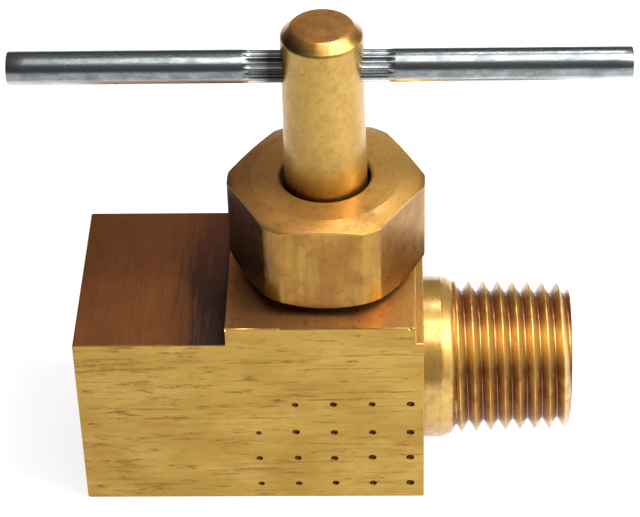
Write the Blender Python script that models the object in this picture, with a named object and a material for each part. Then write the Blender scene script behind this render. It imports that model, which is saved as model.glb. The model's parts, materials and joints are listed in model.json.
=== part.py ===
"""Straight needle valve in brass: a female pipe thread in, a male pipe thread out, a steel T-bar on the stem.

The frame is in metres. +Z runs up the stem, +X points out of the male end, and the origin lies on the
stem's axis in the plane of the base. The valve is closed: the needle stands on its seat.
"""

import math

import bmesh
import bpy
from mathutils import Matrix, Vector

MM = 0.001

# Clearances between pieces
RUNNING_GAP = 0.3 * MM
STACK_GAP = 0.18 * MM
PRESS_GAP = 0.2 * MM

# Body: a slab of brass bar, milled on top to two heights, with a turned neck over the stem
BODY_DEPTH = 19.05 * MM
BODY_LEFT = -22.35 * MM
BODY_RIGHT = 8.5 * MM
LOW_TOP = 18.3 * MM
HIGH_TOP = 20.1 * MM
HIGH_LEFT = -8.9 * MM
HIGH_RIGHT = 7.8 * MM
LEFT_CORNER_RADIUS = 0.25 * MM
NECK_RADIUS = 6.2 * MM
NECK_TOP = 26.4 * MM
UNDERCUT_RADIUS = 5.7 * MM
UNDERCUT_TOP = 21.9 * MM

# Pipe threads, 1/4-18 NPT: both ports lie on one horizontal axis
PORT_HEIGHT = 8.75 * MM
THREAD_PITCH = 25.4 / 18 * MM
THREAD_DEPTH = 1.05 * MM
TAPER = 1 / 32
MALE_END = 21.9 * MM
MALE_CREST_RADIUS = 6.98 * MM
MALE_FIRST_CREST = 12.7 * MM
MALE_END_CHAMFER = 0.6 * MM
COLLAR_RADIUS = 7.45 * MM
COLLAR_END = 10.1 * MM
COLLAR_LIP_RADIUS = 7.05 * MM
COLLAR_LIP_END = 11.1 * MM
OUTLET_BORE_RADIUS = 3.6 * MM
OUTLET_BORE_END = 6.0 * MM
FEMALE_MOUTH_RADIUS = 7.3 * MM
FEMALE_RADIUS = 6.75 * MM
FEMALE_THREAD_LENGTH = 10.8 * MM
TAP_DRILL_RADIUS = 5.56 * MM
TAP_DRILL_DEPTH = 12.8 * MM
DRILL_POINT = math.radians(59)

# Flow passages and the seat inside the body
ORIFICE_RADIUS = 1.9 * MM
SEAT_CHAMFER = 0.7 * MM
CHAMBER_FLOOR = 12.4 * MM
CHAMBER_RADIUS = 3.8 * MM
CROSS_BORE_RADIUS = 2.4 * MM
CROSS_BORE_LEFT = -2.2 * MM
INLET_PASSAGE_RADIUS = 1.4 * MM
INLET_PASSAGE_START = (-10.5 * MM, 0, 11.9 * MM)
INLET_PASSAGE_END = (-2.4 * MM, 0, 13.85 * MM)
STEM_THREAD_FLOOR = 14.9 * MM
STUFFING_BOX_FLOOR = 22.0 * MM
STUFFING_BOX_RADIUS = 5.2 * MM

# Stem, with its thread low down and the needle's socket in its nose
STEM_RADIUS = 3.55 * MM
STEM_THREAD_RADIUS = 4.1 * MM
STEM_NOSE_RADIUS = 3.1 * MM
STEM_BOTTOM = 13.6 * MM
STEM_THREAD_BOTTOM = 15.3 * MM
STEM_THREAD_TOP = 18.9 * MM
STEM_SHOULDER = 44.3 * MM
STEM_TOP = 45.35 * MM
CROWN_FILLET = 0.95 * MM
SOCKET_MOUTH_RADIUS = 1.4 * MM
SOCKET_LIP = 0.6 * MM
SOCKET_RADIUS = 2.0 * MM
SOCKET_TOP = 17.5 * MM

# Needle tip and the ball that it turns against
NEEDLE_RADIUS = 2.3 * MM
NEEDLE_TIP_RADIUS = 0.45 * MM
NEEDLE_BOTTOM = 10.3 * MM
NEEDLE_FLANGE_TOP = 13.3 * MM
NEEDLE_NECK_RADIUS = 1.1 * MM
NEEDLE_HEAD_RADIUS = 1.7 * MM
NEEDLE_HEAD_BOTTOM = 14.5 * MM
NEEDLE_HEAD_TOP = 15.4 * MM
BALL_RADIUS = 0.8 * MM

# T-bar, pressed through the stem on its splines
BAR_RADIUS = 1.45 * MM
BAR_LENGTH = 53.0 * MM
BAR_MIDDLE = -0.3 * MM
BAR_HEIGHT = 41.2 * MM
BAR_CHAMFER = 0.15 * MM
SPLINE_ROOT_RADIUS = 1.36 * MM
SPLINE_HALF_LENGTH = 6.6 * MM

# Packing nut
NUT_ACROSS_FLATS = 15.875 * MM
NUT_CORNER_RADIUS = 8.71 * MM
NUT_BOTTOM = 20.65 * MM
NUT_TOP = 29.8 * MM
NUT_CEILING = 27.5 * MM
NUT_HOLE_RADIUS = 4.0 * MM
NUT_CAVITY_RADIUS = 6.5 * MM
NUT_TURN = math.radians(-2.2)
NUT_TOP_CIRCLE = 6.6 * MM
NUT_TOP_CHAMFER = math.radians(15)
NUT_BOTTOM_CIRCLE = 7.3 * MM
NUT_BOTTOM_CHAMFER = math.radians(35)

# Packing stack in the stuffing box, from the bottom up
RING_INNER_RADIUS = 3.82 * MM
RING_OUTER_RADIUS = 4.95 * MM
WASHER_BOTTOM = 22.25 * MM
WASHER_HEIGHT = 0.45 * MM
ADAPTER_EDGE = 0.4 * MM
V_RING_HEIGHT = 0.42 * MM
V_RING_RISE = 0.35 * MM
V_RING_COUNT = 3
TOP_ADAPTER_HEIGHT = 0.65 * MM
FOLLOWER_TOP = 27.2 * MM

# Sides of the turned pieces
SIDES = 48
SMALL_SIDES = 32
FINE_SIDES = 72


def clear_scene():
    for thing in list(bpy.data.objects):
        bpy.data.objects.remove(thing, do_unlink=True)


def metal(name, colour, roughness, metallic):
    """A Principled material of one colour."""
    made = bpy.data.materials.new(name)
    made.use_nodes = True
    shader = made.node_tree.nodes["Principled BSDF"]
    shader.inputs["Base Color"].default_value = (*colour, 1.0)
    shader.inputs["Roughness"].default_value = roughness
    shader.inputs["Metallic"].default_value = metallic
    made.diffuse_color = (*colour, 1.0)
    return made


def brass(name, roughness):
    return metal(name, (0.72, 0.50, 0.18), roughness, 1.0)


def polymer(name, colour):
    return metal(name, colour, 0.45, 0.0)


def add_object(name, shape, finish=None):
    """Turn a bmesh into an object of the scene, shaded smooth between its sharp edges."""
    bmesh.ops.recalc_face_normals(shape, faces=shape.faces)
    mesh = bpy.data.meshes.new(name)
    shape.to_mesh(mesh)
    shape.free()
    mesh.shade_smooth()
    mesh.set_sharp_from_angle(angle=math.radians(30))
    if finish:
        mesh.materials.append(finish)
    thing = bpy.data.objects.new(name, mesh)
    bpy.context.scene.collection.objects.link(thing)
    return thing


def turned_shape(outline, sides):
    """Spin an outline of (radius, height) points about Z.

    An outline that starts and ends on the axis stays open there. Any other is closed into a ring.
    """
    shape = bmesh.new()
    corners = [shape.verts.new((radius, 0, height)) for radius, height in outline]
    pairs = list(zip(corners, corners[1:]))
    if outline[0][0] > 0 or outline[-1][0] > 0:
        pairs.append((corners[-1], corners[0]))
    edges = [shape.edges.new(pair) for pair in pairs]
    bmesh.ops.spin(
        shape,
        geom=corners + edges,
        cent=(0, 0, 0),
        axis=(0, 0, 1),
        angle=math.tau,
        steps=sides,
    )
    bmesh.ops.remove_doubles(shape, verts=shape.verts, dist=0.001 * MM)
    return shape


def turned(name, outline, finish=None, sides=SIDES):
    return add_object(name, turned_shape(outline, sides), finish)


def turned_along_x(name, outline, finish=None, sides=SIDES):
    """As turned, with the outline's heights measured along +X on the ports' axis."""
    shape = turned_shape(outline, sides)
    onto_port_axis = Matrix.Translation((0, 0, PORT_HEIGHT)) @ Matrix.Rotation(math.pi / 2, 4, "Y")
    bmesh.ops.transform(shape, matrix=onto_port_axis, verts=shape.verts)
    return add_object(name, shape, finish)


def rod_between(name, start, end, radius, sides=SMALL_SIDES):
    """A plain round rod from one point to another."""
    start, end = Vector(start), Vector(end)
    length = (end - start).length
    shape = turned_shape([(0, 0), (radius, 0), (radius, length), (0, length)], sides)
    aim = (end - start).to_track_quat("Z", "Y").to_matrix().to_4x4()
    bmesh.ops.transform(shape, matrix=Matrix.Translation(start) @ aim, verts=shape.verts)
    return add_object(name, shape)


def extruded(name, outline, depth, finish=None):
    """Extrude an outline of (x, z) points along Y, half to each side of the XZ plane."""
    shape = bmesh.new()
    front = [shape.verts.new((x, -depth / 2, z)) for x, z in outline]
    face = shape.faces.new(front)
    grown = bmesh.ops.extrude_face_region(shape, geom=[face])["geom"]
    back = [item for item in grown if isinstance(item, bmesh.types.BMVert)]
    bmesh.ops.translate(shape, verts=back, vec=(0, depth, 0))
    return add_object(name, shape, finish)


def arc(centre, radius, start, end, steps=5):
    """Points from one angle to another about a centre, the ends included."""
    angles = [start + (end - start) * step / steps for step in range(steps + 1)]
    return [
        (centre[0] + radius * math.cos(angle), centre[1] + radius * math.sin(angle))
        for angle in angles
    ]


def combine(target, tool, operation):
    """Join a tool to the target, cut it away, or keep what both share. The tool itself isn't a piece."""
    tool.hide_render = True
    tool.display_type = "WIRE"
    boolean = target.modifiers.new(f"{operation.lower()} {tool.name}", "BOOLEAN")
    boolean.operation = operation
    boolean.object = tool
    boolean.solver = "EXACT"


def body_blank():
    """The milled slab, rounded at its two left corners."""
    radius = LEFT_CORNER_RADIUS
    bottom_left = arc((BODY_LEFT + radius, radius), radius, math.pi, 1.5 * math.pi)
    top_left = arc((BODY_LEFT + radius, LOW_TOP - radius), radius, math.pi / 2, math.pi)
    outline = [
        *bottom_left,
        (BODY_RIGHT, 0),
        (BODY_RIGHT, LOW_TOP),
        (HIGH_RIGHT, LOW_TOP),
        (HIGH_RIGHT, HIGH_TOP),
        (HIGH_LEFT, HIGH_TOP),
        (HIGH_LEFT, LOW_TOP),
        *top_left,
    ]
    return extruded("valve_body", outline, BODY_DEPTH, brass("body brass", 0.38))


def neck():
    """The threaded neck that the packing nut screws onto, undercut at its foot."""
    root = HIGH_TOP - 1.0 * MM
    chamfer = 0.5 * MM
    return turned(
        "neck",
        [
            (0, root),
            (UNDERCUT_RADIUS, root),
            (UNDERCUT_RADIUS, UNDERCUT_TOP),
            (NECK_RADIUS, UNDERCUT_TOP + chamfer),
            (NECK_RADIUS, NECK_TOP - chamfer),
            (NECK_RADIUS - chamfer, NECK_TOP),
            (0, NECK_TOP),
        ],
    )


def male_crest_radius(x):
    return MALE_CREST_RADIUS - (x - MALE_FIRST_CREST) * TAPER


def male_spigot():
    """The collar and the tapered male thread, whose turns stand here as separate ridges."""
    outline = [
        (0, BODY_RIGHT - 1.0 * MM),
        (COLLAR_RADIUS, BODY_RIGHT - 1.0 * MM),
        (COLLAR_RADIUS, COLLAR_END),
        (COLLAR_LIP_RADIUS, COLLAR_LIP_END),
    ]
    end_limit = MALE_END - 0.3 * THREAD_PITCH
    crest = MALE_FIRST_CREST
    while crest < end_limit:
        root_before = crest - THREAD_PITCH / 2
        top = min(male_crest_radius(crest), chamfered_radius(crest))
        outline.append((male_crest_radius(root_before) - THREAD_DEPTH, root_before))
        outline.append((top, crest - 0.1 * THREAD_PITCH))
        outline.append((top, crest + 0.1 * THREAD_PITCH))
        crest += THREAD_PITCH
    outline.append((male_crest_radius(MALE_END) - THREAD_DEPTH, MALE_END))
    outline.append((0, MALE_END))
    return turned_along_x("male_spigot", outline)


def chamfered_radius(x):
    """The radius that the chamfer at the thread's end leaves, at a place along the axis."""
    end_radius = male_crest_radius(MALE_END) - MALE_END_CHAMFER
    return end_radius + (MALE_END - x)


def stem_bore():
    """The stem's bore: stuffing box, thread, chamber, seat and orifice."""
    seat_bottom = CHAMBER_FLOOR - SEAT_CHAMFER
    thread_radius = STEM_THREAD_RADIUS + RUNNING_GAP
    return turned(
        "stem_bore",
        [
            (0, PORT_HEIGHT),
            (ORIFICE_RADIUS, PORT_HEIGHT),
            (ORIFICE_RADIUS, seat_bottom),
            (ORIFICE_RADIUS + SEAT_CHAMFER, CHAMBER_FLOOR),
            (CHAMBER_RADIUS, CHAMBER_FLOOR),
            (CHAMBER_RADIUS, STEM_THREAD_FLOOR),
            (thread_radius, STEM_THREAD_FLOOR),
            (thread_radius, STUFFING_BOX_FLOOR),
            (STUFFING_BOX_RADIUS, STUFFING_BOX_FLOOR),
            (STUFFING_BOX_RADIUS, NECK_TOP + 1.0 * MM),
            (0, NECK_TOP + 1.0 * MM),
        ],
    )


def inlet_bore():
    """The female port: chamfered mouth, tapered thread bore, tap drill and its point."""
    outside = BODY_LEFT - 1.0 * MM
    chamfer_end = BODY_LEFT + (FEMALE_MOUTH_RADIUS - FEMALE_RADIUS)
    thread_end = BODY_LEFT + FEMALE_THREAD_LENGTH
    drill_end = BODY_LEFT + TAP_DRILL_DEPTH
    return turned_along_x(
        "inlet_bore",
        [
            (0, outside),
            (FEMALE_MOUTH_RADIUS + 1.0 * MM, outside),
            (FEMALE_RADIUS, chamfer_end),
            (FEMALE_RADIUS - (thread_end - chamfer_end) * TAPER, thread_end),
            (TAP_DRILL_RADIUS, thread_end),
            (TAP_DRILL_RADIUS, drill_end),
            (0, drill_end + TAP_DRILL_RADIUS / math.tan(DRILL_POINT)),
        ],
    )


def outlet_bore():
    """The stepped bore from the male end to the space under the seat."""
    step = OUTLET_BORE_END
    return turned_along_x(
        "outlet_bore",
        [
            (0, CROSS_BORE_LEFT - CROSS_BORE_RADIUS / math.tan(DRILL_POINT)),
            (CROSS_BORE_RADIUS, CROSS_BORE_LEFT),
            (CROSS_BORE_RADIUS, step - (OUTLET_BORE_RADIUS - CROSS_BORE_RADIUS) / math.tan(DRILL_POINT)),
            (OUTLET_BORE_RADIUS, step),
            (OUTLET_BORE_RADIUS, MALE_END + 1.0 * MM),
            (0, MALE_END + 1.0 * MM),
        ],
    )


def valve_body():
    body = body_blank()
    combine(body, neck(), "UNION")
    combine(body, male_spigot(), "UNION")
    passage = rod_between("inlet_passage", INLET_PASSAGE_START, INLET_PASSAGE_END, INLET_PASSAGE_RADIUS)
    for cutter in (inlet_bore(), outlet_bore(), stem_bore(), passage):
        combine(body, cutter, "DIFFERENCE")
    return body


def packing_nut():
    """The hexagonal nut, its corners turned off, chamfered at both ends and hollow over the neck."""
    corner_radius = NUT_ACROSS_FLATS / math.sqrt(3)
    spare = 0.5 * MM
    corners = arc((0, 0), corner_radius, NUT_TURN, NUT_TURN + math.tau * 5 / 6, steps=5)
    shape = bmesh.new()
    base = shape.faces.new([shape.verts.new((x, y, NUT_BOTTOM - spare)) for x, y in corners])
    grown = bmesh.ops.extrude_face_region(shape, geom=[base])["geom"]
    top = [item for item in grown if isinstance(item, bmesh.types.BMVert)]
    bmesh.ops.translate(shape, verts=top, vec=(0, 0, NUT_TOP - NUT_BOTTOM + 2 * spare))
    nut = add_object("packing_nut", shape, brass("nut brass", 0.3))
    top_drop = (NUT_CORNER_RADIUS - NUT_TOP_CIRCLE) * math.tan(NUT_TOP_CHAMFER)
    bottom_rise = (NUT_CORNER_RADIUS - NUT_BOTTOM_CIRCLE) * math.tan(NUT_BOTTOM_CHAMFER)
    envelope = turned(
        "nut_envelope",
        [
            (0, NUT_BOTTOM),
            (NUT_BOTTOM_CIRCLE, NUT_BOTTOM),
            (NUT_CORNER_RADIUS, NUT_BOTTOM + bottom_rise),
            (NUT_CORNER_RADIUS, NUT_TOP - top_drop),
            (NUT_TOP_CIRCLE, NUT_TOP),
            (0, NUT_TOP),
        ],
        sides=FINE_SIDES,
    )
    envelope.data.transform(Matrix.Rotation(NUT_TURN, 4, "Z"))
    mouth = 0.4 * MM
    hollow = turned(
        "nut_hollow",
        [
            (0, NUT_BOTTOM - 1.0 * MM),
            (NUT_CAVITY_RADIUS + mouth + 1.0 * MM, NUT_BOTTOM - 1.0 * MM),
            (NUT_CAVITY_RADIUS, NUT_BOTTOM + mouth),
            (NUT_CAVITY_RADIUS, NUT_CEILING),
            (NUT_HOLE_RADIUS, NUT_CEILING),
            (NUT_HOLE_RADIUS, NUT_TOP + 1.0 * MM),
            (0, NUT_TOP + 1.0 * MM),
        ],
    )
    combine(nut, envelope, "INTERSECT")
    combine(nut, hollow, "DIFFERENCE")
    return nut


def ring_outline(lower, upper):
    """A packing ring's section: lower and upper are each the heights at inner edge, middle and outer edge."""
    middle = (RING_INNER_RADIUS + RING_OUTER_RADIUS) / 2
    radii = (RING_INNER_RADIUS, middle, RING_OUTER_RADIUS)
    return list(zip(radii, lower)) + list(zip(reversed(radii), reversed(upper)))


def packing_stack():
    """Washer, chevron rings between their adapters, and the gland follower that presses on them."""
    fluoropolymer = polymer("packing white", (0.86, 0.86, 0.83))
    gland_brass = brass("gland brass", 0.35)
    pieces = [turned_ring("packing_washer", WASHER_BOTTOM, WASHER_BOTTOM + WASHER_HEIGHT, gland_brass)]
    height = WASHER_BOTTOM + WASHER_HEIGHT + STACK_GAP
    edge = height + ADAPTER_EDGE
    lower = (height, height, height)
    upper = (edge, edge + V_RING_RISE, edge)
    pieces.append(turned("packing_bottom_adapter", ring_outline(lower, upper), fluoropolymer, SMALL_SIDES))
    height = edge + STACK_GAP
    for number in range(1, V_RING_COUNT + 1):
        top = height + V_RING_HEIGHT
        lower = (height, height + V_RING_RISE, height)
        upper = (top, top + V_RING_RISE, top)
        name = f"packing_v_ring_{number}"
        pieces.append(turned(name, ring_outline(lower, upper), fluoropolymer, SMALL_SIDES))
        height = top + STACK_GAP
    top = height + TOP_ADAPTER_HEIGHT
    lower = (height, height + V_RING_RISE, height)
    upper = (top, top, top)
    pieces.append(turned("packing_top_adapter", ring_outline(lower, upper), fluoropolymer, SMALL_SIDES))
    pieces.append(turned_ring("gland_follower", top + STACK_GAP, FOLLOWER_TOP, gland_brass))
    return pieces


def turned_ring(name, bottom, top, finish):
    """A flat ring that fits between the stem and the stuffing box."""
    outline = [
        (RING_INNER_RADIUS, bottom),
        (RING_OUTER_RADIUS, bottom),
        (RING_OUTER_RADIUS, top),
        (RING_INNER_RADIUS, top),
    ]
    return turned(name, outline, finish, SMALL_SIDES)


def crown():
    """The stem's top, from the shank over a rounded shoulder to a low dome, as (radius, height) points."""
    inner = STEM_RADIUS - CROWN_FILLET
    fillet = arc((inner, STEM_SHOULDER), CROWN_FILLET, 0, math.pi / 2, steps=5)
    middle = (inner / 2, STEM_TOP - 0.25 * (STEM_TOP - STEM_SHOULDER - CROWN_FILLET))
    return [*fillet, middle, (0, STEM_TOP)]


def valve_stem():
    """The stem: threaded foot with the needle's socket, plain shank, crown and cross hole."""
    relief = 0.4 * MM
    outline = [
        (0, SOCKET_TOP),
        (SOCKET_RADIUS, SOCKET_TOP),
        (SOCKET_RADIUS, STEM_BOTTOM + SOCKET_LIP),
        (SOCKET_MOUTH_RADIUS, STEM_BOTTOM + SOCKET_LIP),
        (SOCKET_MOUTH_RADIUS, STEM_BOTTOM),
        (STEM_NOSE_RADIUS - relief, STEM_BOTTOM),
        (STEM_NOSE_RADIUS, STEM_BOTTOM + relief),
        (STEM_NOSE_RADIUS, STEM_THREAD_BOTTOM),
        (STEM_THREAD_RADIUS, STEM_THREAD_BOTTOM + relief),
        (STEM_THREAD_RADIUS, STEM_THREAD_TOP - relief),
        (STEM_RADIUS, STEM_THREAD_TOP),
        *crown(),
    ]
    stem = turned("valve_stem", outline, brass("stem brass", 0.25))
    reach = STEM_RADIUS + 1.0 * MM
    hole = rod_between(
        "cross_hole", (-reach, 0, BAR_HEIGHT), (reach, 0, BAR_HEIGHT), BAR_RADIUS + PRESS_GAP
    )
    combine(stem, hole, "DIFFERENCE")
    return stem


def needle_tip():
    """The needle: a plug cone at the seat's own angle, and a head that hangs in the stem's socket."""
    seat_bottom = CHAMBER_FLOOR - SEAT_CHAMFER
    cone_radius = ORIFICE_RADIUS - RUNNING_GAP * math.sqrt(2)
    outline = [
        (0, NEEDLE_BOTTOM),
        (NEEDLE_TIP_RADIUS, NEEDLE_BOTTOM),
        (cone_radius, seat_bottom),
        (NEEDLE_RADIUS, seat_bottom + NEEDLE_RADIUS - cone_radius),
        (NEEDLE_RADIUS, NEEDLE_FLANGE_TOP),
        (NEEDLE_NECK_RADIUS, NEEDLE_FLANGE_TOP),
        (NEEDLE_NECK_RADIUS, NEEDLE_HEAD_BOTTOM),
        (NEEDLE_HEAD_RADIUS, NEEDLE_HEAD_BOTTOM),
        (NEEDLE_HEAD_RADIUS, NEEDLE_HEAD_TOP),
        (0, NEEDLE_HEAD_TOP),
    ]
    return turned("needle_tip", outline, metal("needle steel", (0.62, 0.62, 0.60), 0.2, 1.0), SMALL_SIDES)


def thrust_ball():
    """The ball that carries the stem's thrust onto the needle's head."""
    centre = (0, NEEDLE_HEAD_TOP + STACK_GAP + BALL_RADIUS)
    outline = arc(centre, BALL_RADIUS, -math.pi / 2, math.pi / 2, steps=10)
    outline[0] = (0, outline[0][1])
    outline[-1] = (0, outline[-1][1])
    return turned("thrust_ball", outline, metal("ball steel", (0.70, 0.70, 0.70), 0.12, 1.0), 20)


def t_bar_handle():
    """The cross bar, slightly reduced along the splined stretch that grips the stem."""
    half = BAR_LENGTH / 2
    spline = SPLINE_HALF_LENGTH
    step = BAR_RADIUS - SPLINE_ROOT_RADIUS
    outline = [
        (0, -half),
        (BAR_RADIUS - BAR_CHAMFER, -half),
        (BAR_RADIUS, -half + BAR_CHAMFER),
        (BAR_RADIUS, -spline - step),
        (SPLINE_ROOT_RADIUS, -spline),
        (SPLINE_ROOT_RADIUS, spline),
        (BAR_RADIUS, spline + step),
        (BAR_RADIUS, half - BAR_CHAMFER),
        (BAR_RADIUS - BAR_CHAMFER, half),
        (0, half),
    ]
    shape = turned_shape(outline, SMALL_SIDES)
    across = Matrix.Translation((BAR_MIDDLE, 0, BAR_HEIGHT)) @ Matrix.Rotation(math.pi / 2, 4, "Y")
    bmesh.ops.transform(shape, matrix=across, verts=shape.verts)
    return add_object("t_bar_handle", shape, metal("bright steel", (0.66, 0.68, 0.70), 0.25, 1.0))


def axis_empty(name, children, parent=None):
    """An empty on the stem's axis that carries one moving group."""
    empty = bpy.data.objects.new(name, None)
    bpy.context.scene.collection.objects.link(empty)
    empty.parent = parent
    for child in children:
        child.parent = empty
    return empty


def main():
    clear_scene()
    valve_body()
    packing_nut()
    packing_stack()
    lift = axis_empty("needle_lift_axis", [needle_tip()])
    axis_empty("stem_turn_axis", [valve_stem(), thrust_ball(), t_bar_handle()], lift)


main()
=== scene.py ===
"""Looks for the needle valve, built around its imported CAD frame.

Each CAD node gets a finer piece in its place, with true helical threads, splines, eased edges and vice marks.
The frame is in metres, +Z runs up the stem, +X points out of the male end.
"""

import json
import math
import random

import bmesh
import bpy
from mathutils import Matrix, Vector

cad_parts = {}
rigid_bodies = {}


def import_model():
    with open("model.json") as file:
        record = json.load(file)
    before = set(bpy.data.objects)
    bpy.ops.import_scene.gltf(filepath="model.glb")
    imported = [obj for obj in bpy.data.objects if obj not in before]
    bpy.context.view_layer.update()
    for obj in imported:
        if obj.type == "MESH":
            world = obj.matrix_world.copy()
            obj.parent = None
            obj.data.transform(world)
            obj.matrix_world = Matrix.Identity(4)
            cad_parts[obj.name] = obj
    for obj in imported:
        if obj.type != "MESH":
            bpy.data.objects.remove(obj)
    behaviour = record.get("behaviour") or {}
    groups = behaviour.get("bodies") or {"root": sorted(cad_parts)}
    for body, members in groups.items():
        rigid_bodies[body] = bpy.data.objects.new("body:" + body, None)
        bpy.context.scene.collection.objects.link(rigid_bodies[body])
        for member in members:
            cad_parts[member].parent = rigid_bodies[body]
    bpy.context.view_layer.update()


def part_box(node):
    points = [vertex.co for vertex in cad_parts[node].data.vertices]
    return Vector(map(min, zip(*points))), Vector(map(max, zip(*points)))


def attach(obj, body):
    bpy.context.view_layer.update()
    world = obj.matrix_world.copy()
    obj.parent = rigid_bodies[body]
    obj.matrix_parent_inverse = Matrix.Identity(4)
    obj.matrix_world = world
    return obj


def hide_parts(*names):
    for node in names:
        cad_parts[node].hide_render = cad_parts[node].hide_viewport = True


for thing in list(bpy.data.objects):
    bpy.data.objects.remove(thing, do_unlink=True)

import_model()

MM = 0.001
TAU = math.tau

# Body, in the frame's own metres
BODY_LO, BODY_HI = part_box("valve_body")
BODY_DEPTH = BODY_HI.y - BODY_LO.y
BODY_LEFT = BODY_LO.x
BODY_RIGHT = 8.5 * MM
LOW_TOP = 18.3 * MM
HIGH_TOP = 20.1 * MM
HIGH_LEFT = -8.9 * MM
HIGH_RIGHT = 7.8 * MM
NECK_RADIUS = 6.2 * MM
NECK_TOP = BODY_HI.z
UNDERCUT_RADIUS = 5.7 * MM
UNDERCUT_TOP = 21.9 * MM

# Ports
PORT_HEIGHT = 8.75 * MM
PITCH = 25.4 / 18 * MM
THREAD_DEPTH = 0.96 * MM
MALE_PITCH = 1.345 * MM
TAPER = 1 / 32
MALE_END = BODY_HI.x
MALE_CREST_RADIUS = 6.98 * MM
MALE_FIRST_CREST = 11.36 * MM
MALE_END_CHAMFER = 0.62 * MM
RUN_OUT_START = 11.05 * MM
COLLAR_SLOPE, RUN_OUT_SLOPE = 0.42, 1.6
RUN_OUT_DEPTH = 0.4 * MM
COLLAR_RADIUS = 7.45 * MM
COLLAR_END = 10.1 * MM
OUTLET_BORE_RADIUS = 3.6 * MM
OUTLET_BORE_END = 6.0 * MM
FEMALE_MOUTH_RADIUS = 7.3 * MM
FEMALE_RADIUS = 6.75 * MM
FEMALE_THREAD_LENGTH = 10.8 * MM
TAP_DRILL_RADIUS = 5.56 * MM
TAP_DRILL_DEPTH = 12.8 * MM
DRILL_POINT = math.radians(59)

# Passages
ORIFICE_RADIUS = 1.9 * MM
SEAT_CHAMFER = 0.7 * MM
CHAMBER_FLOOR = 12.4 * MM
CHAMBER_RADIUS = 3.8 * MM
CROSS_BORE_RADIUS = 2.4 * MM
CROSS_BORE_LEFT = -2.2 * MM
STEM_THREAD_FLOOR = 14.9 * MM
STEM_BORE_RADIUS = 4.4 * MM
STUFFING_BOX_FLOOR = 22.0 * MM
STUFFING_BOX_RADIUS = 5.2 * MM

# Stem
STEM_LO, STEM_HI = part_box("valve_stem")
STEM_TOP = STEM_HI.z
STEM_BOTTOM = STEM_LO.z
FINE_PITCH = 25.4 / 24 * MM
BAR_LO, BAR_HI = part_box("t_bar_handle")
BAR_HEIGHT = (BAR_LO.z + BAR_HI.z) / 2
BAR_RADIUS = (BAR_HI.z - BAR_LO.z) / 2
BAR_MIDDLE = (BAR_LO.x + BAR_HI.x) / 2
SPLINE_CREST = 1.41 * MM

# Packing nut
NUT_LO, NUT_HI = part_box("packing_nut")
NUT_APOTHEM = 15.875 / 2 * MM
NUT_CORNER_RADIUS = 8.71 * MM
NUT_HOLE_RADIUS = 4.0 * MM
NUT_TURN = math.radians(-2.2)
NUT_TOP_CIRCLE = 6.6 * MM
NUT_BOTTOM_CIRCLE = 7.3 * MM


# ---------------------------------------------------------------- shapes


def fillet(points, closed=False, steps=3):
    """Round the corners of an outline. A point is (u, v) or (u, v, radius)."""
    made = []
    count = len(points)
    for number, point in enumerate(points):
        corner = Vector(point[:2])
        radius = point[2] if len(point) > 2 else 0
        if radius == 0 or (not closed and number in (0, count - 1)):
            made.append(tuple(corner))
            continue
        before = Vector(points[number - 1][:2]) - corner
        after = Vector(points[(number + 1) % count][:2]) - corner
        half = before.angle(after) / 2
        if half > 1.56:  # a straight run has no corner to round
            made.append(tuple(corner))
            continue
        reach = min(radius / math.tan(half), 0.48 * before.length, 0.48 * after.length)
        radius = reach * math.tan(half)
        middle = (before.normalized() + after.normalized()).normalized()
        centre = corner + middle * radius / math.sin(half)
        first = corner + before.normalized() * reach - centre
        sweep = first.angle_signed(corner + after.normalized() * reach - centre)
        for step in range(steps + 1):
            turned = Matrix.Rotation(-sweep * step / steps, 2) @ first
            made.append(tuple(centre + turned))
    return made


class Shell:
    """A mesh of columns round an axis. Points that coincide in a column are one vertex."""

    def __init__(self, sides):
        self.sides = sides
        self.points = []
        self.faces = []
        self.known = {}

    def point(self, column, radius, height):
        if radius < 1e-9:
            column, radius = -1, 0.0
        key = (column, round(radius * 1e8), round(height * 1e8))
        if key not in self.known:
            angle = TAU * column / self.sides
            self.known[key] = len(self.points)
            self.points.append((radius * math.cos(angle), radius * math.sin(angle), height))
        return self.known[key]

    def face(self, *corners):
        kept = [c for i, c in enumerate(corners) if c != corners[i - 1]]
        if len(set(kept)) > 2:
            self.faces.append(kept)

    def join(self, one, other, closed=False):
        """Quads between two columns of the same length."""
        pairs = list(zip(one, other))
        if closed:
            pairs.append(pairs[0])
        for (a, b), (c, d) in zip(pairs, pairs[1:]):
            self.face(a, b, d, c)


def turned(outline_at, sides):
    """Columns round Z from an outline of (radius, height), or from a function that gives one per angle."""
    shell = Shell(sides)
    columns = []
    for number in range(sides):
        outline = outline_at(TAU * number / sides) if callable(outline_at) else outline_at
        columns.append([shell.point(number, r, h) for r, h in outline])
    ring = not (columns[0][0] == columns[1][0] or columns[0][-1] == columns[1][-1])
    for number in range(sides):
        shell.join(columns[number], columns[(number + 1) % sides], closed=ring)
    return shell


# Places across one turn of a thread: 0 is the middle of the root and 0.5 the middle of the crest
THREAD_PLACES = (0.03, 0.14, 0.25, 0.36, 0.465, 0.535, 0.64, 0.75, 0.86, 0.97)


def groove(place):
    """How deep the thread is at a place across one turn, from 0 at the crest to 1 at the root."""
    from_root = min(place, 1 - place)
    return 1 - min(1.0, max(0.0, (from_root - 0.03) / (0.465 - 0.03)))


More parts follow.
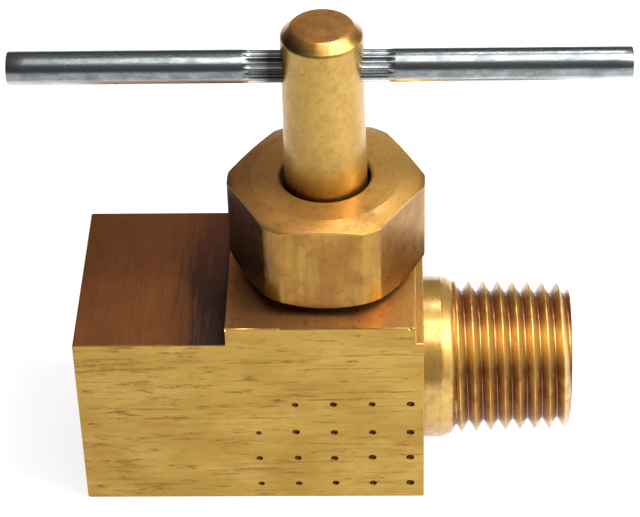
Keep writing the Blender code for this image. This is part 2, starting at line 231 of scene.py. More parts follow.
def threaded(before, after, start, end, pitch, origin, radius_at, sides):
    """A turned shape whose stretch from start to end follows a right-handed helix.

    before and after are plain outlines that lead to it and away from it. radius_at takes a height and the
    place across one turn.
    """
    shell = Shell(sides)
    per_turn = len(THREAD_PLACES)
    first = math.floor((start - origin) / pitch) - 1
    last = math.ceil((end - origin) / pitch) + 1
    columns = []
    for number in range(sides):
        share = number / sides
        rows = []
        for turn in range(first, last + 1):
            for place in THREAD_PLACES:
                height = min(max(origin + (turn + place + share) * pitch, start), end)
                exact = ((height - origin) / pitch - share) % 1.0
                rows.append(shell.point(number, radius_at(height, exact), height))
        head = [shell.point(number, r, h) for r, h in before]
        tail = [shell.point(number, r, h) for r, h in after]
        columns.append((head, rows, tail))
    ring = before[0][0] > 0 and after[-1][0] > 0
    for number in range(sides):
        head, rows, tail = columns[number]
        next_head, next_rows, next_tail = columns[(number + 1) % sides]
        shell.join(head + rows[:1], next_head + next_rows[:1])
        if number + 1 < sides:
            shell.join(rows, next_rows)
        else:
            shell.join(rows[:-per_turn], next_rows[per_turn:])
        shell.join(rows[-1:] + tail, next_rows[-1:] + next_tail)
        if ring:
            shell.face(tail[-1], head[0], next_head[0], next_tail[-1])
    return shell


def mesh_object(name, points, faces, materials, place=None):
    mesh = bpy.data.meshes.new(name)
    mesh.from_pydata(points, [], faces)
    shape = bmesh.new()
    shape.from_mesh(mesh)
    bmesh.ops.recalc_face_normals(shape, faces=shape.faces)
    if place:
        bmesh.ops.transform(shape, matrix=place, verts=shape.verts)
    shape.to_mesh(mesh)
    shape.free()
    for material in materials:
        mesh.materials.append(material)
    made = bpy.data.objects.new(name, mesh)
    bpy.context.scene.collection.objects.link(made)
    return made


ALONG_X = Matrix.Rotation(math.pi / 2, 4, "Y")
ON_PORT_AXIS = Matrix.Translation((0, 0, PORT_HEIGHT)) @ ALONG_X


def solid(name, shell, materials, place=None, slot=0):
    made = mesh_object(name, shell.points, shell.faces, materials, place)
    for face in made.data.polygons:
        face.material_index = slot
    return made


def prism(name, outline, depth, edge, materials, steps=3):
    """An (x, z) outline run along Y, with its two end faces rounded into its sides."""
    count = len(outline)
    inward = []
    for number in range(count):
        before = Vector(outline[number]) - Vector(outline[number - 1])
        after = Vector(outline[(number + 1) % count]) - Vector(outline[number])
        one = Vector((-before.y, before.x)).normalized()
        other = Vector((-after.y, after.x)).normalized()
        inward.append((one + other) / (1 + one.dot(other)))
    rings = []
    for step in range(steps + 1):
        angle = math.pi / 2 * step / steps
        rings.append((edge * (1 - math.sin(angle)), edge * (1 - math.cos(angle)) - depth / 2))
    rings += [(inset, -y) for inset, y in reversed(rings)]
    points, faces = [], []
    for inset, y in rings:
        for corner, direction in zip(outline, inward):
            moved = Vector(corner) + direction * inset
            points.append((moved.x, y, moved.y))
    faces.append(list(range(count)))
    for ring in range(len(rings) - 1):
        for number in range(count):
            after = (number + 1) % count
            faces.append(
                [
                    ring * count + number,
                    ring * count + after,
                    (ring + 1) * count + after,
                    (ring + 1) * count + number,
                ]
            )
    faces.append([(len(rings) - 1) * count + number for number in range(count)])
    return mesh_object(name, points, faces, materials)


def combine(target, tool, operation):
    boolean = target.modifiers.new(tool.name, "BOOLEAN")
    boolean.operation = operation
    boolean.object = tool
    boolean.solver = "EXACT"
    boolean.material_mode = "INDEX"


def bake(target, tools=()):
    """Apply the modifiers and remove the tools."""
    bpy.context.view_layer.update()
    graph = bpy.context.evaluated_depsgraph_get()
    mesh = bpy.data.meshes.new_from_object(target.evaluated_get(graph))
    target.modifiers.clear()
    target.data = mesh
    for tool in tools:
        bpy.data.objects.remove(tool, do_unlink=True)
    return target


def smooth(piece, angle=30, weighted=False):
    mesh = piece.data
    mesh.shade_smooth()
    mesh.set_sharp_from_angle(angle=math.radians(angle))
    if weighted:
        normals = piece.modifiers.new("flat faces stay flat", "WEIGHTED_NORMAL")
        normals.mode = "FACE_AREA"
        normals.weight = 50
        normals.keep_sharp = True
    return piece


def keep_flats_flat(piece):
    """Crease the border of each flat face that is square to the frame, so that its shading stays even."""
    shape = bmesh.new()
    shape.from_mesh(piece.data)
    square = {face: max(abs(part) for part in face.normal) > 0.99999 for face in shape.faces}
    for edge in shape.edges:
        if len({square[face] for face in edge.link_faces}) == 2:
            edge.smooth = False
    shape.to_mesh(piece.data)
    shape.free()


def finish_piece(piece, body, node):
    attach(piece, body)
    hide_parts(node)
    return piece


# ---------------------------------------------------------------- materials


BUMP_DEPTH = 0.02 * MM
OIL_ROUGHNESS = 0.14


class Finish:
    """A material and short ways to add nodes to it. Lengths in its coordinates are millimetres."""

    def __init__(self, name, metallic=1.0, oil=0.0):
        self.material = bpy.data.materials.new(name)
        self.material.use_nodes = True
        self.tree = self.material.node_tree
        self.shader = self.tree.nodes["Principled BSDF"]
        self.shader.inputs["Metallic"].default_value = metallic
        self.shader.inputs["Coat Weight"].default_value = oil
        self.shader.inputs["Coat Roughness"].default_value = OIL_ROUGHNESS
        coordinates = self.tree.nodes.new("ShaderNodeTexCoord")
        self.place = self.scaled(coordinates.outputs["Object"], 1000)

    def node(self, kind, inputs=(), **settings):
        made = self.tree.nodes.new(kind)
        for name, value in settings.items():
            setattr(made, name, value)
        for key, value in dict(inputs).items():
            if isinstance(value, bpy.types.NodeSocket):
                self.tree.links.new(value, made.inputs[key])
            else:
                made.inputs[key].default_value = value
        return made

    def scaled(self, vector, factor):
        return self.node("ShaderNodeVectorMath", {0: vector, "Scale": factor}, operation="SCALE").outputs[0]

    def math(self, operation, one, other=0.0):
        return self.node("ShaderNodeMath", {0: one, 1: other}, operation=operation).outputs[0]

    def plus(self, one, other):
        return self.math("ADD", one, other)

    def minus(self, one, other):
        return self.math("SUBTRACT", one, other)

    def times(self, one, other):
        return self.math("MULTIPLY", one, other)

    def hypot(self, one, other):
        return self.math("SQRT", self.plus(self.math("POWER", one, 2.0), self.math("POWER", other, 2.0)))

    def axes(self):
        made = self.node("ShaderNodeSeparateXYZ", {0: self.place})
        return made.outputs[0], made.outputs[1], made.outputs[2]

    def noise(self, vector, detail, roughness):
        inputs = {"Vector": vector, "Scale": 1.0, "Detail": detail, "Roughness": roughness}
        return self.node("ShaderNodeTexNoise", inputs).outputs[0]

    def pattern(self, scale, shift=(0, 0, 0), turn=(0, 0, 0), detail=4.0, roughness=0.55):
        """Noise over the piece. Scale is how many features fit in a millimetre on each axis."""
        inputs = {0: self.place, "Location": shift, "Rotation": turn, "Scale": scale}
        return self.noise(self.node("ShaderNodeMapping", inputs).outputs[0], detail, roughness)

    def rings(self, value, per_mm, detail, roughness, axis=0):
        """Noise along one value only, the lathe's fine rings. The axis picks the part of the pattern."""
        vector = self.node("ShaderNodeCombineXYZ", {axis: self.times(value, per_mm)}).outputs[0]
        return self.noise(vector, detail, roughness)

    def span(self, value, low, high, out_low=0.0, out_high=1.0):
        inputs = {0: value, 1: low, 2: high, 3: out_low, 4: out_high}
        return self.node("ShaderNodeMapRange", inputs).outputs[0]

    def mix(self, share, one, other):
        made = self.node("ShaderNodeMix", data_type="RGBA")
        for key, value in ((0, share), (6, one), (7, other)):
            if isinstance(value, bpy.types.NodeSocket):
                self.tree.links.new(value, made.inputs[key])
            else:
                made.inputs[key].default_value = value if key == 0 else (*value, 1.0)
        return made.outputs[2]

    def bump(self, height, strength):
        inputs = {"Height": height, "Strength": strength, "Distance": BUMP_DEPTH}
        return self.node("ShaderNodeBump", inputs).outputs[0]

    def finish(self, colour, roughness, normal, metallic=None):
        links = {"Base Color": colour, "Roughness": roughness, "Normal": normal, "Metallic": metallic}
        for name, value in links.items():
            if value:
                self.tree.links.new(value, self.shader.inputs[name])
        return self.material


GOLD = (0.56, 0.35, 0.085)
PALE_GOLD = (0.66, 0.44, 0.12)
TAN = (0.50, 0.28, 0.06)
BROWN = (0.22, 0.085, 0.02)
DRAWN_GOLD = (0.395, 0.247, 0.052)
DRAWN_PALE = (0.48, 0.31, 0.078)
DRAWN_TAN = (0.36, 0.20, 0.042)
NUT_GOLD = (0.37, 0.205, 0.036)
NUT_TAN = (0.29, 0.135, 0.022)
STEM_GOLD = (0.50, 0.32, 0.07)
STEM_TAN = (0.43, 0.25, 0.05)
MILLED_GOLD = (0.74, 0.43, 0.13)
NUT_TOP = (0.66, 0.36, 0.08)
NUT_TOP_SHADED = (0.47, 0.20, 0.045)
RED_BRASS = (0.45, 0.165, 0.052)
RED_BROWN = (0.20, 0.065, 0.022)
SOOT_AND_SHADE = (0.035, 0.022, 0.02)
MARK_BROWN = (0.19, 0.09, 0.02)
ROOT_TARNISH_AND_SHADE = (0.24, 0.075, 0.025)
HIGHLIGHT_GOLD = (0.74, 0.48, 0.12)
STREAK_BROWN = (0.20, 0.085, 0.018)
FLECK_BROWN = (0.27, 0.15, 0.03)
CROWN_RED = (0.58, 0.25, 0.06)
CROWN_BROWN = (0.43, 0.165, 0.04)
CROWN_SHADE = (0.07, 0.02, 0.014)
FOOT_REFLECTION_DARK = (0.17, 0.045, 0.02)
SHADED_STEEL = (0.30, 0.325, 0.34)
DEEP_SHADED_STEEL = (0.18, 0.20, 0.21)
LIT_STEEL = (0.86, 0.89, 0.87)
DIM_LIT_STEEL = (0.72, 0.75, 0.73)
LINE_STEEL = (0.12, 0.13, 0.14)
STEM_SHADE_ON_BAR = (0.025, 0.024, 0.022)
PTFE_WHITE = (0.86, 0.86, 0.82)
PTFE_GREY = (0.76, 0.76, 0.71)
DENT_SHADE_DARK = (0.04, 0.018, 0.006)
DENT_SHADE_BROWN = (0.15, 0.07, 0.018)
TURNED_PALE = (0.60, 0.385, 0.09)
TURNED_GOLD = (0.50, 0.30, 0.065)
THREAD_PALE = (0.66, 0.42, 0.11)
THREAD_GOLD = (0.52, 0.28, 0.065)
NEEDLE_LIGHT = (0.62, 0.62, 0.60)
NEEDLE_DARK = (0.50, 0.50, 0.49)
BALL_LIGHT = (0.70, 0.70, 0.70)
BALL_DARK = (0.62, 0.62, 0.63)

# The painted highlight band on the male thread faces this way: forwards, and up
HIGHLIGHT_FORWARD, HIGHLIGHT_UP = 0.615, 0.788


def drawn_brass():
    """The bar's own drawn faces: satin, with grain and short brown marks that run along it."""
    f = Finish("drawn_brass")
    x, _, _ = f.axes()
    slow = f.pattern((0.10, 0.10, 0.20), detail=3)
    colour = f.mix(f.span(slow, 0.40, 0.60), DRAWN_GOLD, DRAWN_PALE)
    cloud = f.pattern((0.16, 0.5, 0.6), shift=(5.0, 0, 2.0), detail=6, roughness=0.62)
    colour = f.mix(f.span(cloud, 0.50, 0.66, 0.0, 0.75), colour, DRAWN_TAN)
    grain = f.pattern((0.5, 4.0, 4.0), detail=7, roughness=0.75)
    colour = f.mix(f.span(grain, 0.44, 0.70, 0.0, 0.45), colour, DRAWN_TAN)
    dashes = f.pattern((0.36, 1.7, 1.7), shift=(3.1, 0, 1.7), detail=5, roughness=0.62)
    longer = f.pattern((0.13, 2.6, 2.6), shift=(11.0, 0, 6.3), turn=(0, -0.05, 0), detail=4)
    leftward = f.span(x, -16.0, 6.0, 0.0, 0.05)
    marks = f.span(f.minus(dashes, leftward), 0.54, 0.66)
    long_marks = f.span(longer, 0.57, 0.68, 0.0, 0.8)
    marks = f.math("MAXIMUM", marks, long_marks)
    broken = f.pattern((1.6, 4.0, 5.0), detail=3)
    marks = f.times(marks, f.span(broken, 0.36, 0.56, 0.25, 1.0))
    colour = f.mix(f.times(marks, 0.85), colour, MARK_BROWN)
    roughness = f.span(grain, 0.3, 0.7, 0.34, 0.48)
    roughness = f.plus(roughness, f.times(marks, 0.1))
    height = f.minus(grain, f.times(marks, 0.5))
    return f.finish(colour, roughness, f.bump(height, 0.4))


def milled_brass():
    """The milled tops: reddish, with the cutter's lines across the bar, soot blotches, painted shade beside
    the step, and the raised top painted gold towards the right.
    """
    f = Finish("milled_brass", metallic=0.85)
    x, y, z = f.axes()
    slow = f.pattern((0.16, 0.10, 0.16), detail=3)
    low_top, step = LOW_TOP / MM, HIGH_LEFT / MM
    upper = f.span(z, low_top + 0.6, low_top + 1.2)
    upper = f.math("MAXIMUM", upper, f.span(x, HIGH_RIGHT / MM - 0.2, HIGH_RIGHT / MM))
    # The raised top is painted redder at its left, under the nut, and gold towards the right: painted shade
    # and painted light.
    painted_lit_colour = f.mix(f.times(upper, f.span(x, -7.0, 4.0, 0.25, 1.0)), RED_BRASS, MILLED_GOLD)
    dull_and_shaded = f.span(upper, 0.0, 1.0, 0.45, 0.15)
    colour = f.mix(f.times(f.span(slow, 0.40, 0.62), dull_and_shaded), painted_lit_colour, RED_BROWN)
    lines = f.pattern((5.0, 0.10, 0.5), turn=(0, 0, 0.03), detail=7, roughness=0.75)
    colour = f.mix(f.times(f.span(lines, 0.42, 0.68, 0.0, 1.6), dull_and_shaded), colour, RED_BROWN)
    blotch = f.pattern((1.7, 0.11, 0.5), shift=(1.5, 0.4, 0), detail=6, roughness=0.68)
    # Painted shade on the low top beside the step, where the step and the nut cut off the light, added to the
    # soot blotches.
    step_shade = f.times(f.span(x, -15.0, -10.4), f.span(x, step, step + 0.1, 1.0, 0.0))
    soot_and_step_shade = f.span(f.plus(blotch, f.times(step_shade, 0.52)), 0.62, 0.92)
    colour = f.mix(f.times(soot_and_step_shade, 0.92), colour, SOOT_AND_SHADE)
    behind = f.times(f.span(y, -3.0, 8.0, 0.0, 0.55), f.minus(1.0, upper))
    colour = f.mix(behind, colour, RED_BROWN)
    specks = f.pattern((1.4, 0.9, 1.4), detail=5, roughness=0.65)
    colour = f.mix(f.span(specks, 0.56, 0.68, 0.0, 0.5), colour, RED_BROWN)
    roughness = f.plus(f.span(lines, 0.3, 0.7, 0.24, 0.38), f.times(soot_and_step_shade, 0.12))
    return f.finish(colour, roughness, f.bump(lines, 0.45))


def turned_brass(name, about_x=True, rough=(0.2, 0.34), roots=None, light=PALE_GOLD, dark=GOLD):
    """Brass off the lathe: fine rings round an axis.

    roots gives the thread's crest radius and where along x it holds. Below the crests the brass is darker,
    tarnish with painted shade in the roots, and a painted highlight band lies along the side that faces up
    and forward.
    """
    f = Finish(name, metallic=0.7, oil=0.6)
    x, y, z = f.axes()
    along = x if about_x else z
    slow = f.pattern((0.3, 0.3, 0.3), detail=3)
    colour = f.mix(f.span(slow, 0.38, 0.62), dark, light)
    rings = f.rings(along, 7.0, detail=6, roughness=0.75)
    mottle = f.pattern((0.9, 0.9, 0.9), detail=6, roughness=0.65)
    colour = f.mix(f.span(mottle, 0.48, 0.68, 0.0, 0.55), colour, BROWN)
    colour = f.mix(f.span(rings, 0.45, 0.70, 0.0, 0.45), colour, BROWN)
    if roots:
        up = f.minus(z, PORT_HEIGHT / MM)
        radius = f.hypot(y, up)
        crest = f.minus(roots[0], f.times(f.minus(x, roots[1]), TAPER))
        depth = f.minus(crest, radius)
        # The roots are darker: tarnish, with painted shade.
        tarnish_and_shade = f.plus(depth, f.span(mottle, 0.3, 0.7, -0.3, 0.3))
        colour = f.mix(f.span(tarnish_and_shade, 0.10, 0.80, 0.0, 0.85), colour, ROOT_TARNISH_AND_SHADE)
        # A painted highlight band along the side of the thread that faces up and forward.
        facing = f.minus(f.times(up, HIGHLIGHT_UP), f.times(y, HIGHLIGHT_FORWARD))
        facing = f.plus(f.math("DIVIDE", facing, radius), f.span(mottle, 0.3, 0.7, -0.02, 0.02))
        painted_band = f.span(facing, 0.92, 0.995, 0.0, 0.62)
        colour = f.mix(painted_band, colour, HIGHLIGHT_GOLD)
    roughness = f.plus(f.span(rings, 0.3, 0.7, *rough), f.span(mottle, 0.4, 0.7, -0.02, 0.10))
    return f.finish(colour, roughness, f.bump(rings, 0.3))


def faced_brass():
    """The bar's ends, faced in the lathe: rings about the ports' axis."""
    f = Finish("faced_brass")
    _, y, z = f.axes()
    up = f.minus(z, PORT_HEIGHT / MM)
    radius = f.hypot(y, up)
    rings = f.rings(radius, 5.0, detail=4, roughness=0.6)
    slow = f.pattern((0.2, 0.2, 0.2), detail=3)
    colour = f.mix(f.span(slow, 0.35, 0.65), TAN, GOLD)
    colour = f.mix(f.span(rings, 0.4, 0.75, 0.0, 0.4), colour, BROWN)
    return f.finish(colour, f.span(rings, 0.3, 0.7, 0.26, 0.40), f.bump(rings, 0.3))


def nut_brass():
    """The packing nut: drawn flats with lines up them, a turned top painted darker at its left than its
    right, and painted shade, near black, on the left facet.
    """
    f = Finish("nut_brass", oil=0.3)
    x, y, z = f.axes()
    nut_top = NUT_HI.z / MM
    radius = f.hypot(x, y)
    rings = f.rings(radius, 5.0, detail=4, roughness=0.65)
    streaks = f.pattern((1.7, 1.7, 0.12), detail=6, roughness=0.7)
    top = f.span(z, nut_top - 0.68, nut_top - 0.4)
    sides = f.minus(1.0, top)
    lines = f.plus(f.times(rings, top), f.times(streaks, sides))
    patches = f.pattern((0.45, 0.45, 0.30), shift=(2.0, 1.0, 0), detail=5, roughness=0.6)
    colour = f.mix(f.span(patches, 0.42, 0.60), NUT_GOLD, NUT_TAN)
    colour = f.mix(f.span(lines, 0.44, 0.68, 0.0, 0.5), colour, STREAK_BROWN)
    # The top is painted darker at its left and lighter at its right: painted shade and painted light.
    upper = f.mix(f.span(x, -6.5, 5.0), NUT_TOP_SHADED, NUT_TOP)
    colour = f.mix(f.times(top, 0.9), colour, upper)
    smudge = f.pattern((0.9, 0.9, 0.9), shift=(0, 4.0, 0), detail=5, roughness=0.65)
    colour = f.mix(f.span(smudge, 0.54, 0.68, 0.0, 0.55), colour, BROWN)
    # Painted shade, near black, on the nut's left facet.
    left_facet_shade = f.plus(x, f.times(smudge, 2.4))
    left_facet_shade = f.times(f.span(left_facet_shade, -4.6, -3.2, 1.0, 0.0), f.span(y, -0.5, 0.8, 1.0, 0.0))
    left_facet_shade = f.times(left_facet_shade, f.minus(1.0, f.times(top, 0.8)))
    colour = f.mix(f.times(left_facet_shade, 0.88), colour, SOOT_AND_SHADE)
    roughness = f.plus(f.span(lines, 0.3, 0.7, 0.22, 0.34), f.span(smudge, 0.4, 0.7, 0.0, 0.1))
    return f.finish(colour, roughness, f.bump(lines, 0.25), f.span(top, 0.0, 1.0, 1.0, 0.65))


def stem_brass():
    """The stem: satin along the shank with light handling marks, redder and smoother on its crown.

    The crown is painted dark at its front left, and the shank's foot is painted darker at its left where it
    enters the nut: painted reflections.
    """
    f = Finish("stem_brass", oil=0.5)
    x, y, z = f.axes()
    stem_top, nut_top = STEM_TOP / MM, NUT_HI.z / MM
    rings = f.rings(z, 9.0, detail=5, roughness=0.7, axis=2)
    mottle = f.pattern((1.1, 1.1, 0.8), detail=7, roughness=0.68)
    flecks = f.pattern((2.6, 2.6, 2.2), shift=(1.0, 3.0, 0), detail=5, roughness=0.7)
    crown = f.span(z, stem_top - 0.75, stem_top - 0.2)
    colour = f.mix(f.span(mottle, 0.40, 0.62), STEM_GOLD, STEM_TAN)
    colour = f.mix(f.span(flecks, 0.55, 0.66, 0.0, 0.5), colour, FLECK_BROWN)
    colour = f.mix(f.span(rings, 0.5, 0.8, 0.0, 0.2), colour, BROWN)
    red = f.mix(f.span(mottle, 0.42, 0.60), CROWN_RED, CROWN_BROWN)
    colour = f.mix(f.times(crown, 0.85), colour, red)
    satin = f.span(rings, 0.3, 0.7, 0.38, 0.48)
    polish = f.span(z, stem_top - 1.1, stem_top - 0.6, 0.0, 0.16)
    height = f.plus(f.times(rings, 0.6), f.times(mottle, 0.8))
    # Painted dark reflection on the crown's front left.
    shaded = f.times(f.span(x, -2.7, -0.9, 1.0, 0.0), f.span(y, -1.4, 0.4, 1.0, 0.0))
    shaded = f.times(shaded, f.span(z, stem_top - 1.15, stem_top - 0.95))
    colour = f.mix(f.times(shaded, 0.85), colour, CROWN_SHADE)
    # Painted dark reflection at the foot's left, where the shank meets the nut's top.
    foot_reflection = f.times(f.span(z, nut_top + 0.2, nut_top + 2.4, 1.0, 0.0), f.span(x, -2.6, 0.4, 1.0, 0.0))
    colour = f.mix(f.times(foot_reflection, f.span(mottle, 0.35, 0.6, 0.6, 0.95)), colour, FOOT_REFLECTION_DARK)
    metallic = f.span(crown, 0.0, 1.0, 1.0, 0.75)
    return f.finish(colour, f.minus(satin, polish), f.bump(height, 0.25), metallic)


def bright_steel():
    """The bar handle: plated steel with fine lines along it, painted shade above its axis and painted light
    below it, and painted shade beside the stem.
    """
    f = Finish("bright_steel")
    x, _, z = f.axes()
    lines = f.pattern((0.22, 5.0, 5.0), detail=5, roughness=0.65)
    blotch = f.pattern((0.6, 1.0, 1.0), detail=5, roughness=0.65)
    axis = BAR_HEIGHT / MM
    # The bar is painted dark above its axis and bright below it: painted shade and a painted reflection of
    # the floor.
    lit_underside = f.span(z, axis - 0.2, axis - 0.8)
    dull_and_shaded = f.mix(f.span(blotch, 0.38, 0.62), SHADED_STEEL, DEEP_SHADED_STEEL)
    painted_lit_colour = f.mix(f.span(blotch, 0.38, 0.62), LIT_STEEL, DIM_LIT_STEEL)
    colour = f.mix(lit_underside, dull_and_shaded, painted_lit_colour)
    colour = f.mix(f.span(lines, 0.45, 0.70, 0.0, 0.5), colour, LINE_STEEL)
    # Painted shade on the bar beside the stem's left.
    stem_shade = f.times(f.span(x, -5.9, -4.5), f.span(x, -3.2, -2.8, 1.0, 0.0))
    colour = f.mix(f.times(stem_shade, 0.9), colour, STEM_SHADE_ON_BAR)
    roughness = f.plus(f.span(lines, 0.3, 0.7, 0.20, 0.30), f.span(blotch, 0.4, 0.7, -0.02, 0.08))
    return f.finish(colour, roughness, f.bump(lines, 0.3))


def ground_steel(name, light, dark, rough):
    """The needle and its ball: ground, with faint rings."""
    f = Finish(name)
    _, _, z = f.axes()
    rings = f.rings(z, 14.0, detail=4, roughness=0.6, axis=2)
    mottle = f.pattern((1.5, 1.5, 1.5), detail=4)
    colour = f.mix(f.span(mottle, 0.35, 0.65), light, dark)
    return f.finish(colour, f.span(rings, 0.3, 0.7, rough, rough + 0.1), f.bump(rings, 0.12))


def packing_polymer():
    """White PTFE, slightly mottled and translucent."""
    f = Finish("packing_polymer", metallic=0.0)
    mottle = f.pattern((1.2, 1.2, 1.2), detail=4)
    fine = f.pattern((9.0, 9.0, 9.0), detail=3)
    colour = f.mix(f.span(mottle, 0.35, 0.65), PTFE_WHITE, PTFE_GREY)
    f.shader.inputs["Subsurface Weight"].default_value = 0.08
    f.shader.inputs["Subsurface Radius"].default_value = (0.4 * MM, 0.35 * MM, 0.3 * MM)
    return f.finish(colour, f.span(fine, 0.3, 0.7, 0.38, 0.5), f.bump(fine, 0.15))


def dent_shade_brass():
    """The insides of the vice marks, painted dark: painted shade."""
    f = Finish("dent_shade_brass")
    mottle = f.pattern((2.5, 2.5, 2.5), detail=4)
    colour = f.mix(f.span(mottle, 0.35, 0.65), DENT_SHADE_DARK, DENT_SHADE_BROWN)
    return f.finish(colour, f.span(mottle, 0.3, 0.7, 0.34, 0.5), f.bump(mottle, 0.2))


DRAWN, MILLED, FACED, TURNED, THREAD, BORE, DENTS = range(7)


def body_materials():
    return [
        drawn_brass(),
        milled_brass(),
        faced_brass(),
        turned_brass("turned_brass", light=TURNED_PALE, dark=TURNED_GOLD),
        turned_brass(
            "thread_brass",
            rough=(0.32, 0.42),
            roots=(MALE_CREST_RADIUS / MM, MALE_FIRST_CREST / MM),
            light=THREAD_PALE,
            dark=THREAD_GOLD,
        ),
        turned_brass("bore_brass", rough=(0.24, 0.38)),
        dent_shade_brass(),
    ]


# ---------------------------------------------------------------- body


def body_blank(materials):
    edge = 0.12 * MM
    outline = fillet(
        [
            (BODY_LEFT, 0, 0.28 * MM),
            (BODY_RIGHT, 0, edge),
            (BODY_RIGHT, LOW_TOP, edge),
            (HIGH_RIGHT, LOW_TOP, 0.05 * MM),
            (HIGH_RIGHT, HIGH_TOP, edge),
            (HIGH_LEFT, HIGH_TOP, edge),
            (HIGH_LEFT, LOW_TOP, 0.1 * MM),
            (BODY_LEFT, LOW_TOP, 0.22 * MM),
        ],
        closed=True,
        steps=5,
    )
    slab = prism("valve_body_visual", outline, BODY_DEPTH, 0.1 * MM, materials)
    for face in slab.data.polygons:
        normal = face.normal
        if normal.z > 0.5:
            face.material_index = MILLED
        elif abs(normal.x) > 0.7:
            face.material_index = MILLED if face.center.z > LOW_TOP else FACED
        else:
            face.material_index = DRAWN
    return slab


def male_crest(x):
    return MALE_CREST_RADIUS - (x - MALE_FIRST_CREST) * TAPER


def male_radius(x, place):
    """The thread between the collar's slope, where it runs out, and the chamfer at its end."""
    radius = male_crest(x) - THREAD_DEPTH * groove(place)
    end_chamfer = male_crest(MALE_END) - MALE_END_CHAMFER + (MALE_END - x)
    sloped = COLLAR_SLOPE * (x - COLLAR_END)
    steep = RUN_OUT_DEPTH + RUN_OUT_SLOPE * (x - RUN_OUT_START)
    return max(min(radius, end_chamfer), COLLAR_RADIUS - max(sloped, steep))


def male_spigot(materials):
    start = COLLAR_END + 0.2 * MM
    before = [(0, BODY_RIGHT - 1.0 * MM)] + fillet(
        [
            (COLLAR_RADIUS, BODY_RIGHT - 1.0 * MM),
            (COLLAR_RADIUS, COLLAR_END, 0.15 * MM),
            (male_radius(start, 0.5), start),
        ]
    )[:-1]
    after = [(0, MALE_END)]
    # Seen from the front and above, the upper outline runs this far round the axis from straight down
    outline_turn = 141.5 / 360
    origin = MALE_FIRST_CREST - (0.5 + outline_turn) * MALE_PITCH
    shell = threaded(before, after, start, MALE_END, MALE_PITCH, origin, male_radius, 180)
    spigot = solid("male_spigot", shell, materials, ON_PORT_AXIS, TURNED)
    for face in spigot.data.polygons:
        if face.center.x > start:
            face.material_index = THREAD
        if face.center.x > MALE_END - 1e-6:
            face.material_index = FACED
    return spigot


def neck(materials):
    root = HIGH_TOP - 1.0 * MM
    depth, end_chamfer, sunk = 0.55 * MM, 0.45 * MM, 0.05 * MM

    def radius_at(z, place):
        chamfer = NECK_RADIUS - end_chamfer + (NECK_TOP - z)
        lead = UNDERCUT_RADIUS - sunk + (z - UNDERCUT_TOP)
        return min(NECK_RADIUS - depth * groove(place), chamfer, lead)

    before = [(0, root), (UNDERCUT_RADIUS, root)]
    shell = threaded(
        before, [(0, NECK_TOP)], UNDERCUT_TOP, NECK_TOP, FINE_PITCH, UNDERCUT_TOP, radius_at, 128
    )
    return solid("neck", shell, materials, slot=TURNED)


def stem_bore(materials):
    seat_bottom = CHAMBER_FLOOR - SEAT_CHAMFER
    outline = [
        (0, PORT_HEIGHT),
        (ORIFICE_RADIUS, PORT_HEIGHT),
        (ORIFICE_RADIUS, seat_bottom),
        (ORIFICE_RADIUS + SEAT_CHAMFER, CHAMBER_FLOOR),
        (CHAMBER_RADIUS, CHAMBER_FLOOR),
        (CHAMBER_RADIUS, STEM_THREAD_FLOOR),
        (STEM_BORE_RADIUS, STEM_THREAD_FLOOR),
        (STEM_BORE_RADIUS, STUFFING_BOX_FLOOR),
        (STUFFING_BOX_RADIUS, STUFFING_BOX_FLOOR),
        (STUFFING_BOX_RADIUS, NECK_TOP - 0.2 * MM),
        (STUFFING_BOX_RADIUS + 1.2 * MM, NECK_TOP + 1.0 * MM),
        (0, NECK_TOP + 1.0 * MM),
    ]
    return solid("stem_bore", turned(outline, 96), materials, slot=BORE)


def inlet_bore(materials):
    outside = BODY_LEFT - 1.0 * MM
    thread_end = BODY_LEFT + FEMALE_THREAD_LENGTH
    drill_end = BODY_LEFT + TAP_DRILL_DEPTH

    beyond_cad, depth, fade_slope = 0.28 * MM, 0.95 * MM, 0.5

    def radius_at(x, place):
        root = FEMALE_RADIUS + beyond_cad - (x - BODY_LEFT) * TAPER
        mouth = FEMALE_MOUTH_RADIUS - (x - BODY_LEFT)
        fade = TAP_DRILL_RADIUS + max(0.0, thread_end - x) * fade_slope
        return max(mouth, TAP_DRILL_RADIUS, min(root - depth * groove(place), fade))

    before = [(0, outside)]
    after = [
        (TAP_DRILL_RADIUS, drill_end),
        (0, drill_end + TAP_DRILL_RADIUS / math.tan(DRILL_POINT)),
    ]
    shell = threaded(before, after, outside, thread_end, PITCH, BODY_LEFT, radius_at, 160)
    return solid("inlet_bore", shell, materials, ON_PORT_AXIS, BORE)


def outlet_bore(materials):
    step = OUTLET_BORE_END
    cone = math.tan(DRILL_POINT)
    outline = [
        (0, CROSS_BORE_LEFT - CROSS_BORE_RADIUS / cone),
        (CROSS_BORE_RADIUS, CROSS_BORE_LEFT),
        (CROSS_BORE_RADIUS, step - (OUTLET_BORE_RADIUS - CROSS_BORE_RADIUS) / cone),
        (OUTLET_BORE_RADIUS, step),
        (OUTLET_BORE_RADIUS, MALE_END - 0.3 * MM),
        (OUTLET_BORE_RADIUS + 1.3 * MM, MALE_END + 1.0 * MM),
        (0, MALE_END + 1.0 * MM),
    ]
    return solid("outlet_bore", turned(outline, 96), materials, ON_PORT_AXIS, BORE)


def inlet_passage(materials):
    start, end = Vector((-10.5, 0, 11.9)) * MM, Vector((-2.4, 0, 13.85)) * MM
    radius, length = 1.4 * MM, (end - start).length
    aim = (end - start).to_track_quat("Z", "Y").to_matrix().to_4x4()
    shell = turned([(0, 0), (radius, 0), (radius, length), (0, length)], 48)
    return solid("inlet_passage", shell, materials, Matrix.Translation(start) @ aim, BORE)


